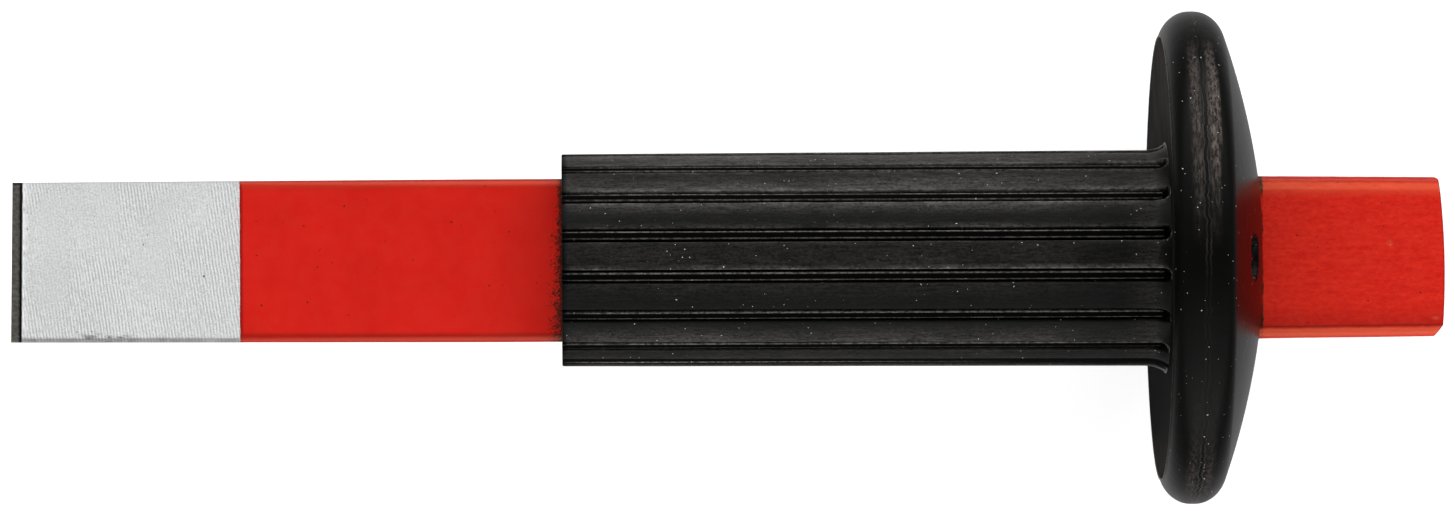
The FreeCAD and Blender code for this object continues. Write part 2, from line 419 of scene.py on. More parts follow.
def head_edges(inner, upper):
    """The head's long edges: painted highlights on broad facets, painted shade at the upper edge,
    and on the lower side painted shade in a crease inside the facet and beside it.
    """
    upper_light = 0.8 * between(inner, 0.95, 1.25, 1.7, 3.8)
    lower_light = 0.85 * between(inner, 0.2, 0.45, 1.5, 1.7)
    upper_dark = 0.5 * between(inner, -1.0, -0.5, 0.8, 1.1)
    crease = 0.65 * between(inner, 1.65, 1.85, 2.0, 2.35)
    shade = 0.35 * between(inner, 1.8, 2.0, 2.0, 6.5)
    painted_highlight = np.where(upper, upper_light, lower_light)
    return painted_highlight, np.where(upper, upper_dark, crease + shade)


def blade_edges(points, inner, upper):
    """The silver blade: a broken painted highlight past the bevel, painted shade along the upper
    edge, and along the lower edge painted shade with burrs, chipped in one stretch.
    """
    x, y = points[:, 0], points[:, 1]
    from_bevel = x - BEVEL_LENGTH - edge_skew(BEVEL_LENGTH, y)
    bright = np.clip(0.7 + 1.4 * noise_at(points, 1.1, 49), 0.0, 1.0)
    painted_highlight = bright * between(from_bevel, 0.12, 0.22, 0.28, 0.5)
    corner = np.interp(x, [0, X_TAPER_END], [TIP_CORNER_RADIUS, BAR_CORNER_RADIUS])
    upper_dark = 0.5 * (1 - smooth(inner, 0.3 * corner, 1.1 * corner))
    burr = 0.55 + 0.7 * noise_at(points * [1, 0.3, 0.3], 0.8, 42)
    lower_dark = (0.55 + 0.3 * burr) * (1 - smooth(inner, 0.55, 0.95))
    chipped = between(x, 11.0, 13.5, 18.0, 21.0) * (1 - smooth(inner, 0.9, 1.9))
    chipped *= smooth(noise_at(points, 0.45, 47), 0.05, 0.3)
    return painted_highlight, np.where(upper, upper_dark, np.maximum(lower_dark, chipped))


def edge_marks(points):
    """How strong each point's painted highlight is, on edge facets and in chips, and how dark it
    is from painted shade along the edges and in a crease, from burrs and chips, along the line
    where the finishes meet and near the struck end.
    """
    x, y = points[:, 0], points[:, 1]
    inner = from_long_edge(points)
    upper = y > 0
    head = smooth(x, X_HUB - 2.0, X_HUB)
    silver = x < X_SILVER_END - 0.05
    shank_light, shank_dark = shank_edges(inner, upper)
    head_light, head_dark = head_edges(inner, upper)
    blade_light, blade_dark = blade_edges(points, inner, upper)
    painted_highlight = np.where(silver, blade_light, shank_light * (1 - head) + head_light * head)
    shade_and_dark_marks = np.where(silver, blade_dark, shank_dark * (1 - head) + head_dark * head)
    past_joint = x - X_SILVER_END
    shade_and_dark_marks = np.maximum(shade_and_dark_marks, 0.85 * between(past_joint, -0.05, 0.1, 0.22, 0.7))
    from_end = end_station(y) - x
    shade_and_dark_marks = np.maximum(shade_and_dark_marks, 0.6 * between(from_end, -1.0, -0.5, 0.1, 0.3))
    # Painted highlights in the chips.
    for spot_x, spot_y, along, across in CHIP_HIGHLIGHTS:
        from_spot = np.hypot((x - spot_x) * along, (y - spot_y) * across)
        painted_highlight = np.maximum(painted_highlight, 1 - smooth(from_spot, 0.15, 0.45))
    return np.clip(painted_highlight, 0, 1), np.clip(shade_and_dark_marks, 0, 1)


def shadow_line_marks(points):
    """Painted shadow lines, black: at the bevel's end and upper edge, at the grip's start, at the
    hub.
    """
    x = points[:, 0]
    rough = 0.10 * noise_at(points, 0.5, 45) + 0.08 * noise_at(points, 1.6, 46)
    from_bevel = x - BEVEL_LENGTH - edge_skew(BEVEL_LENGTH, points[:, 1]) + 0.5 * rough
    bevel = between(from_bevel, -0.46, -0.34, 0.02, 0.14)
    upper_edge = smooth(points[:, 1], TIP_WIDTH / 2 - 0.45, TIP_WIDTH / 2 - 0.25)
    bevel = np.maximum(bevel, upper_edge * (from_bevel < 0))
    start = 0.6 * between(x - X_GRIP_START + 2 * rough, -0.7, -0.2, 0.2, 0.5)
    broken = np.clip(0.7 + 1.3 * noise_at(points, 2.2, 48), 0.25, 1.0)
    hub = broken * between(x - X_HUB + 1.6 * rough, -0.9, -0.6, -0.05, 0.2)
    return np.maximum(np.maximum(bevel, start), hub)


def make_bar():
    """The whole bar as one closed mesh, with its three finishes on their own faces."""
    rings = forged_surface(broken_edges(bar_rings()))
    count = len(rings)
    points = rings.reshape(-1, 3)
    faces = grid_faces(count - 1, RING, lambda i, j: i * RING + j % RING)
    points = add_cap(points, faces, 0, rings[0], 0.0, False)
    points = add_cap(points, faces, (count - 1) * RING, rings[-1], HEAD_BULGE, True)
    bar = new_piece("steel_bar", points, faces, "bar", "chisel_bar")
    for material in (red_lacquer(), silver_finish(), bevel_steel()):
        bar.data.materials.append(material)
    middles = np.array([points[list(f)].mean(axis=0) for f in faces])
    skew = edge_skew(BEVEL_LENGTH, middles[:, 1])
    lacquered, silver, bevelled = 0, 1, 2
    index = np.full(len(faces), lacquered, dtype=np.int32)
    # The rings' faces are in order along the bar, so the silver ones come first.
    last_silver = int(np.searchsorted(rings[..., 0].mean(axis=1), X_SILVER_END - 0.02))
    index[: last_silver * RING] = silver
    index[middles[:, 0] - skew < BEVEL_LENGTH - 0.1] = bevelled
    bar.data.polygons.foreach_set("material_index", index)
    x, y = points[:, 0], points[:, 1]
    # Grime where the grip's end sits, with painted shade beside the grip, reaching further on the
    # -Y side.
    uneven = noise_at(points * [1, 1, 0.3], 1.3, 5) + 0.6 * noise_at(points, 0.45, 6)
    reach = 3.9 - 1.9 * smooth(y, -BAR_WIDTH / 2, BAR_WIDTH / 2) + 1.5 * uneven
    rubbed_and_shaded = smooth(x, X_GRIP_START - reach, X_GRIP_START + 0.4)
    painted_highlight, shade_and_dark_marks = edge_marks(points)
    paint(bar, "rubbed_and_shaded", rubbed_and_shaded * (1 - smooth(x, X_GRIP_START + 0.6, X_GRIP_START + 2.0)))
    paint(bar, "painted_highlight", painted_highlight)
    paint(bar, "shade_and_dark_marks", shade_and_dark_marks)
    paint(bar, "shadow_lines", shadow_line_marks(points))
    paint(bar, "forged", smooth(x, X_HUB - 3.0, X_HUB))


# ------------------------------------------------------------- the rubber guard

# Offsets in mm from a slot's centre to its columns, measured round the grip at the
# reference radius: close together at the bead's edge and at the slot's wall.
HALF_PERIOD = [0.0, 0.25, 0.44, 0.54, 0.62, 0.67, 0.695, 0.72, 0.98, 1.06, 1.12, 1.18, 1.26, 1.42]
REFERENCE_RADIUS = 17.9
PERIOD = 2 * math.pi * REFERENCE_RADIUS / SLOT_COUNT
LAND_COLUMNS = 3


def column_offsets():
    """Offsets in mm from a slot's centre of the columns in one period, from slot to land."""
    edge = HALF_PERIOD[-1]
    land = [edge + (PERIOD / 2 - edge) * k / LAND_COLUMNS for k in range(1, LAND_COLUMNS + 1)]
    half = HALF_PERIOD + land
    return [-v for v in half[-2:0:-1]] + half


def columns():
    """The angle of every column, from +Z towards +Y, and its offset from its slot's centre."""
    offsets = np.array(column_offsets())
    centres = np.radians(SLOT_PHASE + np.arange(SLOT_COUNT) * 360 / SLOT_COUNT)
    angles = centres[:, None] + offsets / REFERENCE_RADIUS
    return angles.ravel(), np.tile(offsets, SLOT_COUNT)


ANGLES, OFFSETS = columns()
# The same angles in degrees, within -180 to 180, and each column's place on a unit circle.
TURNED = np.degrees(np.arctan2(np.sin(ANGLES), np.cos(ANGLES)))
CIRCLE = np.column_stack([np.cos(ANGLES), np.sin(ANGLES), np.zeros(len(ANGLES))])


def bore_radius(angles):
    """The distance from the axis to the bore's wall in each direction."""
    half_y = BAR_WIDTH / 2 + BORE_CLEARANCE
    half_z = BAR_THICKNESS / 2 + BORE_CLEARANCE
    corner = BAR_CORNER_RADIUS + BORE_CLEARANCE
    side_y, side_z = np.abs(np.sin(angles)), np.abs(np.cos(angles))
    flat = np.minimum(half_y / np.maximum(side_y, 1e-9), half_z / np.maximum(side_z, 1e-9))
    centre_y, centre_z = half_y - corner, half_z - corner
    along = side_y * centre_y + side_z * centre_z
    reach = corner**2 - (centre_y**2 + centre_z**2) + along**2
    rounded = along + np.sqrt(np.maximum(reach, 0.0))
    in_corner = (flat * side_y > centre_y) & (flat * side_z > centre_z)
    return np.where(in_corner, rounded, flat)


BORE = bore_radius(ANGLES)


def slotted(x, outer, jitter):
    """The grip's radius at one station: lands at outer, with the slots and beads let in.

    Also how open the slot is, and how near each column is to a slot's lip or a bead's edge.
    """
    past_end = max(0.0, x - (X_SLOT_END - SLOT_HALF))
    inside = SLOT_HALF - np.hypot(OFFSETS, past_end) + jitter
    open_slot = smooth(inside, -SLOT_LIP, SLOT_WALL - SLOT_LIP)
    past_bead = max(0.0, x - (X_BEAD_END - BEAD_HALF))
    from_side = BEAD_HALF - np.hypot(OFFSETS, past_bead)
    over_round = np.clip(BEAD_ROUND - from_side, 0.0, BEAD_ROUND)
    bead = BEAD_TOP - BEAD_ROUND + np.sqrt(BEAD_ROUND**2 - over_round**2)
    floor = np.where(from_side > 0, bead, SLOT_FLOOR)
    rolled = outer - LIP_DROP * smooth(inside, -LIP_ROLL, 0.0)
    lip = np.exp(-(((inside + LIP_PLACE) / LIP_BREADTH) ** 2))
    rib = np.exp(-(((from_side - RIB_PLACE) / LIP_BREADTH) ** 2)) * (from_side > 0)
    return rolled + (floor - rolled) * open_slot, open_slot, lip, rib


def rim_point(turn):
    """A point of the rim's round, at an angle from +X towards the outside."""
    x = X_RIM_CENTRE + RIM_ROUND * math.cos(turn)
    return x, GUARD_RADIUS - RIM_ROUND + RIM_ROUND * math.sin(turn)


def arc_through(first, middle, last, count):
    """Points along the circle through three points, from the first to the last."""
    (ax, ay), (bx, by), (cx, cy) = first, middle, last
    d = 2 * (ax * (by - cy) + bx * (cy - ay) + cx * (ay - by))
    a2, b2, c2 = ax**2 + ay**2, bx**2 + by**2, cx**2 + cy**2
    ux = (a2 * (by - cy) + b2 * (cy - ay) + c2 * (ay - by)) / d
    uy = (a2 * (cx - bx) + b2 * (ax - cx) + c2 * (bx - ax)) / d
    radius = math.hypot(ax - ux, ay - uy)
    start = math.atan2(ay - uy, ax - ux)
    turn = math.atan2(cy - uy, cx - ux) - start
    turn = (turn + math.pi) % (2 * math.pi) - math.pi
    angles = [start + turn * k / count for k in range(count + 1)]
    return [(ux + radius * math.cos(t), uy + radius * math.sin(t)) for t in angles]


class Rings:
    """The guard's rings in order: a station, a radius and the marks for every column."""

    usual = {"land": 0, "band": 0, "lip": 0, "tone": 1, "seam": 0, "start": 0, "dull": 0}

    def __init__(self):
        self.x, self.r = [], []
        self.marks = {name: [] for name in self.usual}

    def add(self, x, r, **marks):
        """Adds a ring; each value is one number, or one for every column."""
        ones = np.ones(len(ANGLES))
        self.x.append(x * ones)
        self.r.append(r * ones)
        for name, value in self.usual.items():
            self.marks[name].append(marks.get(name, value) * ones)


def end_face_rings(rings):
    """The flat free end of the grip, from the bore out to the slotted outline."""
    outline = slotted(X_GRIP_START, GRIP_RADIUS_START - GRIP_END_ROUND, 0.0)[0]
    for t in (0.0, 0.04, 0.3, 0.6, 0.85, 1.0):
        radius = BORE + (outline - BORE) * t
        rings.add(X_GRIP_START + LEAD_IN * (1 - smooth(t, 0.0, 0.04)), radius)


def flare_at(run):
    """The radius of the grip's flare, a run of that length from where the flare begins."""
    return GRIP_RADIUS_END + FLARE_ROUND - math.sqrt(FLARE_ROUND**2 - run**2)


# How light the lands are, from dust and from painted light and shade by the way each land
# faces. Here and below, a stop is a place and the value there, and the angles are in degrees
# from +Z towards +Y.
DUST_AND_SHADE_STOPS = [
    (-75, 0.35), (-60, 0.15), (-49, 0.6), (-37, 0.05), (-24, 0.04), (-13, 0.2), (10, 0.2),
    (24, 0.04), (31, 0.6), (42, 0.6), (54, 0.15), (62, 0.6), (75, 0.75), (80, 0.1),
]
# How strong the painted highlight on a slot's two lips is: first the one towards +Y, then the one
# towards -Y.
FAR_LIP_HIGHLIGHT_STOPS = [(-68, 0.0), (-52, 0.3), (-27, 0.0), (-5, 1.0), (15, 0.4), (38, 1.0), (60, 0.6)]
NEAR_LIP_HIGHLIGHT_STOPS = [(-60, 0.1), (-38, 0.0), (-13, 0.05), (8, 0.15), (32, 1.0), (52, 0.5), (75, 0.6)]
# The low strip of the grip that stays dull: its middle and its half width in degrees.
LOW_EDGE = -72.0
LOW_EDGE_HALF = 2.5
# The guard's noise is read on a cylinder of one of these radii.
GRIP_NOISE_RADIUS = 17.0
RIM_NOISE_RADIUS = 40.0


def at_stops(place, stops):
    """The value at each place, straight from stop to stop."""
    return np.interp(place, *zip(*stops))


def lip_highlight_marks(x, places, lip, rib):
    """The painted highlights on the lips and the bead edges: broken along the grip, faint at its
    start.
    """
    lip_highlight_level = np.where(
        OFFSETS > 0, at_stops(TURNED, FAR_LIP_HIGHLIGHT_STOPS), at_stops(TURNED, NEAR_LIP_HIGHLIGHT_STOPS)
    )
    start_fade = 0.45 + 0.55 * smooth(x, X_GRIP_START + 1.0, X_GRIP_START + 8.0)
    broken = 0.62 + 1.2 * noise_at(places * [1, 1, 0.45], 1.5, 14)
    at_end = 0.8 * smooth(x, X_SLOT_END - 4.0, X_SLOT_END - 1.0) * (OFFSETS > -0.5)
    lip = lip * np.clip(broken, 0.15, 1.0) * start_fade * np.maximum(lip_highlight_level, at_end)
    steady = 0.75 + 0.5 * noise_at(places * [1, 1, 0.2], 2.5, 15)
    rib = rib * np.clip(1.3 * steady, 0.2, 1.0) * start_fade
    return np.maximum(lip, rib * np.where(OFFSETS > 0, 1.0, 0.5))


def land_dust_and_shade(x, x_flare, places):
    """How light the lands are, from dust and painted light and shade: less near both ends of the
    grip, with painted shade towards the guard, and more on the flare.
    """
    tone = at_stops(TURNED, DUST_AND_SHADE_STOPS) * (0.9 + 0.5 * noise_at(places * [1, 1, 0.3], 3.0, 16))
    tone = tone * (0.7 + 0.3 * smooth(x, X_GRIP_START, X_GRIP_START + 10.0))
    tone = tone * (1 - 0.45 * smooth(x, X_GUARD_ROOT - 25.0, X_GUARD_ROOT - 8.0))
    flare = between(x, x_flare - 1.5, x_flare + 0.5, x_flare + 1.0, X_GUARD_ROOT - 0.8)
    return tone + 0.25 * flare


def grip_rings(rings):
    """The length of the grip, its rounded start, and the flare where the slots run out."""
    x_flare = X_GUARD_ROOT - FLARE_LENGTH
    stations = spaced(
        [
            (X_GRIP_START + 0.08, 0.09),
            (X_GRIP_START + GRIP_END_ROUND, 1.0),
            (X_GRIP_START + 2.0, 4.6),
            (x_flare, 0.45),
            (X_BEAD_END - 1.0, 0.16),
            (X_SLOT_END - 0.6, 0.07),
            (X_GUARD_ROOT - 0.02, 0.07),
        ]
    )
    bead_top = (OFFSETS > -0.45) & (OFFSETS < 0.4)
    beside_bead = (np.abs(OFFSETS) > BEAD_HALF) & (np.abs(OFFSETS) < 1.0)
    low_edge = np.abs(TURNED - LOW_EDGE) < LOW_EDGE_HALF
    for x in stations:
        along = min(1.0, (x - X_GRIP_START) / (x_flare - X_GRIP_START))
        outer = GRIP_RADIUS_START + (GRIP_RADIUS_END - GRIP_RADIUS_START) * along
        start = max(0.0, X_GRIP_START + GRIP_END_ROUND - x)
        outer -= GRIP_END_ROUND - math.sqrt(max(GRIP_END_ROUND**2 - start**2, 0.0))
        if x > x_flare:
            outer = flare_at(x - x_flare)
        places = CIRCLE * GRIP_NOISE_RADIUS + [0, 0, x]
        jitter = 0.035 * noise_at(places, 2.6, 11) + 0.02 * noise_at(places, 0.9, 12)
        radius, open_slot, lip, rib = slotted(x, outer, jitter)
        radius = radius - 0.03 + 0.03 * noise_at(places * [1, 1, 0.35], 6.0, 13)
        lip = lip_highlight_marks(x, places, lip, rib)
        dull = (open_slot > 0.5) & (bead_top | beside_bead) | low_edge
        tone = np.where(dull, 0.0, land_dust_and_shade(x, x_flare, places))
        land = (1 - open_slot) * (1 - smooth(x, x_flare, X_GUARD_ROOT))
        # Painted shadow at the grip's free end: the edge of its rounded start turns black.
        shadow_lines = 1 - smooth(x, X_GRIP_START + 0.25, X_GRIP_START + 0.6)
        rings.add(x, radius + 0.05 * lip, land=land, lip=lip, tone=tone, start=shadow_lines, dull=dull)


# Painted light and shade on the guard's front, and how strong the painted highlight on the fine
# ridge round it is, from side to side: the places are in mm across the guard, along Y.
SHADE_STOPS = [
    (-35, 0.8), (-29, 0.15), (-22, 0.05), (-15, 0.1), (0, 0.35), (15, 0.3), (20, 0.6), (30, 1.0),
    (37, 1.2),
]
RIDGE_HIGHLIGHT_STOPS = [(-36, 0.6), (-22, 0.3), (-5, 0.05), (14, 0.05), (24, 0.8), (36, 1.0)]


def guard_front_rings(rings):
    """The dished front face and the fine raised line where it turns into the rim."""
    start = (X_GUARD_ROOT, flare_at(FLARE_LENGTH))
    end = rim_point(math.radians(RIDGE_ANGLE))
    for t in (0.01, 0.04, 0.1, 0.22, 0.36, 0.5, 0.64, 0.78, 0.9, 0.97):
        x = start[0] + (end[0] - start[0]) * t
        radius = start[1] + (end[1] - start[1]) * t
        # The front's tone is painted light and shade, from side to side.
        rings.add(x, radius, tone=at_stops(radius * np.sin(ANGLES), SHADE_STOPS), dull=1)
    # The ridge's painted highlight follows its height.
    shown = at_stops(GUARD_RADIUS * np.sin(ANGLES), RIDGE_HIGHLIGHT_STOPS)
    for step, height in ((-0.22, 0.0), (-0.1, 0.05), (-0.03, 0.13), (0.03, 0.13), (0.1, 0.04)):
        rings.add(end[0] - height, end[1] + step, lip=5 * height * shown, tone=0.0)


# How worn the rim is beside its parting line, with painted sheen there, and how clearly the line
# shows.
WEAR_AND_SHEEN_STOPS = [
    (-60, 0.5), (-44, 0.1), (-22, 0.0), (-12, 0.0), (3, 0.0), (14, 0.35), (22, 0.8), (38, 1.0),
    (48, 0.8), (62, 0.05),
]
SEAM_STOPS = [
    (-70, 1.0), (-50, 0.8), (-40, 0.15), (-20, 0.1), (0, 0.3), (8, 1.0), (22, 1.0), (32, 1.0),
    (44, 0.35), (60, 0.2),
]
# The parting line's place on the rim's round, and the rings beside it, in degrees from it.
SEAM_ANGLE = 90.0
NEAR_SEAM = [0.5, 1.2, 1.9, 2.7, 3.6, 4.6, 6.0, 8.0, 10.5]


def rim_rings(rings):
    """The guard's round rim, with bands of wear and painted sheen on both sides of its parting
    line.
    """
    seam = math.radians(SEAM_ANGLE)
    turns = list(np.radians(np.linspace(RIDGE_ANGLE - 4.0, SEAM_ANGLE + 14.0, 13)))
    turns += [seam + math.radians(v) for v in NEAR_SEAM[::-1]]
    turns += [seam - math.radians(v) for v in NEAR_SEAM]
    turns += list(np.radians(np.linspace(SEAM_ANGLE - 14.0, CONE_START_ANGLE, 12)))
    circle = CIRCLE * RIM_NOISE_RADIUS
    wander = 0.25 * noise_at(circle, 9.0, 21)
    # Wear and painted sheen by angle round the rim, mostly on the +Y side.
    worn = at_stops(TURNED, WEAR_AND_SHEEN_STOPS)
    shown = at_stops(TURNED, SEAM_STOPS)
    scuff_and_sheen = worn * (1.0 + 0.9 * noise_at(circle, 1.6, 25)) * smooth(TURNED, -5.0, 30.0)
    strip_wear = between(TURNED, 24.0, 32.0, 46.0, 52.0)
    strip_wear *= 0.8 + 0.8 * noise_at(circle, 1.2, 24)
    for turn in turns:
        x, r = rim_point(turn)
        off = (turn - seam) * RIM_ROUND
        near = math.exp(-((off / 1.3) ** 2))
        left = between(off, 0.2, 1.0, 1.3, 2.8)
        right = between(off, -2.6, -1.9, -1.3, -0.3)
        strip = between(off, -3.0, -2.5, -2.0, -1.5) * strip_wear * 1.2
        band = 0.7 * left * worn + 0.65 * right * worn + 0.6 * right * scuff_and_sheen + strip
        seam_near = math.exp(-((off / 1.2) ** 4))
        drop = 0.02 + 0.09 * near
        rings.add(x + wander * near, r - drop, band=np.clip(band, 0, 1), seam=seam_near * shown)


def hub_station(r):
    """Where the hub's gentle cone lies at a radius inside the end of the dome."""
    return CONE_END[0] + (X_HUB - CONE_END[0]) * (CONE_END[1] - r) / CONE_END[1]


def back_rings(rings):
    """The domed back of the guard from the rim in to the bore, with the gate recess."""
    cone = arc_through(rim_point(math.radians(CONE_START_ANGLE)), CONE_MID, CONE_END, 240)
    cone_x, cone_r = np.array(cone[::-1]).T
    hub_radius = CONE_END[1]
    radii = spaced(
        [
            (hub_radius, 0.9),
            (GATE_HEIGHT - 5.0, 0.5),
            (GATE_HEIGHT - 4.5, 0.2),
            (GATE_HEIGHT + 4.5, 0.5),
            (GATE_HEIGHT + 5.0, 1.0),
            (CONE_OUTER_RADIUS, 1.0),
        ]
    )
    slope = (CONE_MID[0] - CONE_END[0]) / (CONE_MID[1] - CONE_END[1])
    steep = math.hypot(1, slope)
    normal_x, normal_r = 1 / steep, -slope / steep
    for radius in radii[::-1]:
        # Inside ROUND_DOWN_TO the rings turn from circles into the bore's outline.
        inward = max(0.0, (ROUND_DOWN_TO - radius) / (ROUND_DOWN_TO - hub_radius))
        r = max(radius, ROUND_DOWN_TO) + (BORE + BORE_MOUTH - ROUND_DOWN_TO) * inward
        x = np.where(r > hub_radius, np.interp(r, cone_r, cone_x), hub_station(r))
        across = r * np.sin(ANGLES)
        up = r * np.cos(ANGLES) - GATE_HEIGHT
        from_gate = np.hypot(across, up * steep)
        well = 1 - smooth(from_gate, GATE_RADIUS - 0.25, GATE_RADIUS + 0.12)
        stub = 1 - smooth(from_gate, GATE_STUB_RADIUS * 0.4, GATE_STUB_RADIUS)
        sunk = GATE_DEPTH * well - GATE_STUB_HEIGHT * stub
        rings.add(x - sunk * normal_x, r - sunk * normal_r * np.cos(ANGLES))


def bore_rings(rings):
    """The mouth of the bore in the guard's back, and the bore's wall back to the free end."""
    rough = 0.05 * noise_at(CIRCLE * BORE[:, None], 1.6, 31)
    hub = hub_station(np.minimum(BORE, CONE_END[1]))
    for drop, open_by in ((0.02, 0.12), (0.1, 0.05), (0.25, 0.02), (0.6, 0.0)):
        rings.add(hub - drop, BORE + np.maximum(open_by + rough, 0.0))
    for x in spaced([(X_GRIP_START + 0.4, 22.0), (X_HUB - 4.0, 22.0)])[::-1]:
        rings.add(x, BORE)


def make_guard():
    """The one-piece moulding, as one closed mesh whose rings run out, along, over and back."""
    rings = Rings()
    end_face_rings(rings)
    grip_rings(rings)
    guard_front_rings(rings)
    rim_rings(rings)
    back_rings(rings)
    bore_rings(rings)
    x, r = np.array(rings.x), np.array(rings.r)
    points = np.stack([x, r * np.sin(ANGLES), r * np.cos(ANGLES)], axis=-1).reshape(-1, 3)
    rows, count = x.shape
    faces = grid_faces(rows, count, lambda i, j: (i % rows) * count + j % count)
    faces = [f[::-1] for f in faces]
    guard = new_piece("rubber_guard", points, faces, "guard", "hand_guard")
    for name in ("land", "band", "lip", "tone", "seam", "start"):
        paint(guard, name, rings.marks[name])
    guard.data.materials.append(black_rubber())
    guard.data.materials.append(dull_rubber())
    dull = np.array(rings.marks["dull"], dtype=np.int32)
    guard.data.polygons.foreach_set("material_index", dull.ravel())


# ------------------------------------------------------------------- materials

# Lengths here are in metres: a noise scale is in grains to the metre.
BLACK = (0.001, 0.001, 0.001, 1)


class Nodes:
    """Short calls for building the node tree of a material, or of the world."""

    def __init__(self, owner, shader="Principled BSDF"):
        owner.use_nodes = True
        self.owner = owner
        self.tree = owner.node_tree
        self.shader = self.tree.nodes[shader]

    def add(self, kind, **settings):
        node = self.tree.nodes.new(kind)
        for key, value in settings.items():
            setattr(node, key, value)
        return node

    def link(self, source, target):
        self.tree.links.new(source, target)

    def feed(self, socket, value):
        if isinstance(value, bpy.types.NodeSocket):
            self.link(value, socket)
        else:
            socket.default_value = value

    def place(self, scale=(1, 1, 1), turn=(0, 0, 0)):
        """Object coordinates in metres, turned and scaled."""
        mapping = self.add("ShaderNodeMapping")
        mapping.inputs["Scale"].default_value = scale
        mapping.inputs["Rotation"].default_value = turn
        self.link(self.add("ShaderNodeTexCoord").outputs["Object"], mapping.inputs["Vector"])
        return mapping.outputs["Vector"]

    def noise(self, scale, detail=2.0, rough=0.5, stretch=(1, 1, 1), turn=(0, 0, 0)):
        """Noise whose grain is 1 / scale metres, stretched along an axis where asked."""
        texture = self.add("ShaderNodeTexNoise")
        texture.inputs["Scale"].default_value = scale
        texture.inputs["Detail"].default_value = detail
        texture.inputs["Roughness"].default_value = rough
        self.link(self.place(stretch, turn), texture.inputs["Vector"])
        return texture.outputs["Fac"]

    def ramp(self, value, low, high, to_low=0.0, to_high=1.0):
        """Maps low..high to to_low..to_high with smooth ends."""
        node = self.add("ShaderNodeMapRange", interpolation_type="SMOOTHSTEP")
        self.link(value, node.inputs["Value"])
        node.inputs["From Min"].default_value = low
        node.inputs["From Max"].default_value = high
        node.inputs["To Min"].default_value = to_low
        node.inputs["To Max"].default_value = to_high
        return node.outputs["Result"]

    def math(self, operation, first, second):
        node = self.add("ShaderNodeMath", operation=operation)
        self.feed(node.inputs[0], first)
        self.feed(node.inputs[1], second)
        return node.outputs["Value"]

    def plus(self, first, second):
        return self.math("ADD", first, second)

    def minus(self, first, second):
        return self.math("SUBTRACT", first, second)

    def times(self, first, second):
        return self.math("MULTIPLY", first, second)

    def mix(self, factor, first, second):
        """The first colour where the factor is 0, and the second where it is 1."""
        node = self.add("ShaderNodeMix", data_type="RGBA")
        self.feed(node.inputs["Factor"], factor)
        self.feed(node.inputs["A"], first)
        self.feed(node.inputs["B"], second)
        return node.outputs["Result"]

    def attribute(self, name):
        """The number that was painted on the piece's points under this name."""
        return self.add("ShaderNodeAttribute", attribute_name=name).outputs["Fac"]

    def bump(self, height, distance, strength=1.0, below=None):
        """Relief as deep as distance, on top of the relief below."""
        node = self.add("ShaderNodeBump")
        node.inputs["Strength"].default_value = strength
        node.inputs["Distance"].default_value = distance
        self.link(height, node.inputs["Height"])
        if below is not None:
            self.link(below, node.inputs["Normal"])
        return node.outputs["Normal"]

    def finish(self, **inputs):
        """Sets the shader's sockets, named with _ for a space, and gives the tree's owner."""
        for key, value in inputs.items():
            self.feed(self.shader.inputs[key.replace("_", " ")], value)
        return self.owner


def red_lacquer():
    """Semi-gloss red lacquer over forged steel, rubbed dark with grime where the grip's end sits,
    with painted shade there too, and painted highlights and painted shade along its edges.

    The head is brushed and dented by forging; the shank is smoother, with a faint cloud.
    """
    n = Nodes(bpy.data.materials.new("red_lacquer"))
    cloud = n.ramp(n.noise(90, 3), 0.3, 0.7)
    colour = n.mix(cloud, (0.545, 0.0062, 0.0050, 1), (0.60, 0.0080, 0.0062, 1))
    brushed = n.ramp(n.noise(1100, 4, 0.7, (0.2, 1, 1)), 0.28, 0.72)
    grained = n.ramp(n.noise(1500, 3, 0.7, (0.6, 1, 1)), 0.3, 0.7)
    brushed = n.plus(n.times(brushed, 0.45), n.times(grained, 0.55))
    worked = n.mix(brushed, (0.53, 0.0040, 0.0040, 1), (0.70, 0.019, 0.0100, 1))
    colour = n.mix(n.attribute("forged"), colour, worked)
    # Painted highlights on the edge facets and in the chips, then painted shade along the edges
    # and in the head's crease, with the line where the finishes meet.
    colour = n.mix(n.attribute("painted_highlight"), colour, (0.65, 0.060, 0.026, 1))
    colour = n.mix(n.attribute("shade_and_dark_marks"), colour, (0.20, 0.0025, 0.0025, 1))
    specks = n.ramp(n.noise(1300, 1), 0.775, 0.79)
    colour = n.mix(specks, colour, (0.10, 0.004, 0.004, 1))
    # Grime and painted shade at the grip's end, broken into specks, mixed in as a near-black red.
    speckled = n.times(n.minus(n.noise(3000, 2), 0.5), 2.4)
    grime_and_shade = n.ramp(n.plus(n.attribute("rubbed_and_shaded"), speckled), 0.38, 1.05)
    colour = n.mix(grime_and_shade, colour, (0.060, 0.007, 0.006, 1))
    # Painted shadow lines at the grip's start and at the hub.
    colour = n.mix(n.attribute("shadow_lines"), colour, (0.012, 0.004, 0.004, 1))
    peel = n.bump(n.noise(1500, 2), 0.00003)
    waves = n.bump(n.noise(260, 2, stretch=(0.5, 1, 1)), 0.00010, 0.8, peel)
    hammered = n.times(n.noise(700, 3, 0.6, (0.5, 1, 1)), n.attribute("forged"))
    dents = n.bump(hammered, 0.00016, 0.8, waves)
    rough = n.ramp(n.noise(400, 3), 0.3, 0.7, 0.28, 0.38)
    n.shader.inputs["Specular IOR Level"].default_value = 0.42
    n.shader.inputs["Specular Tint"].default_value = (1.0, 0.62, 0.34, 1)
    return n.finish(Base_Color=colour, Roughness=rough, Normal=dents)


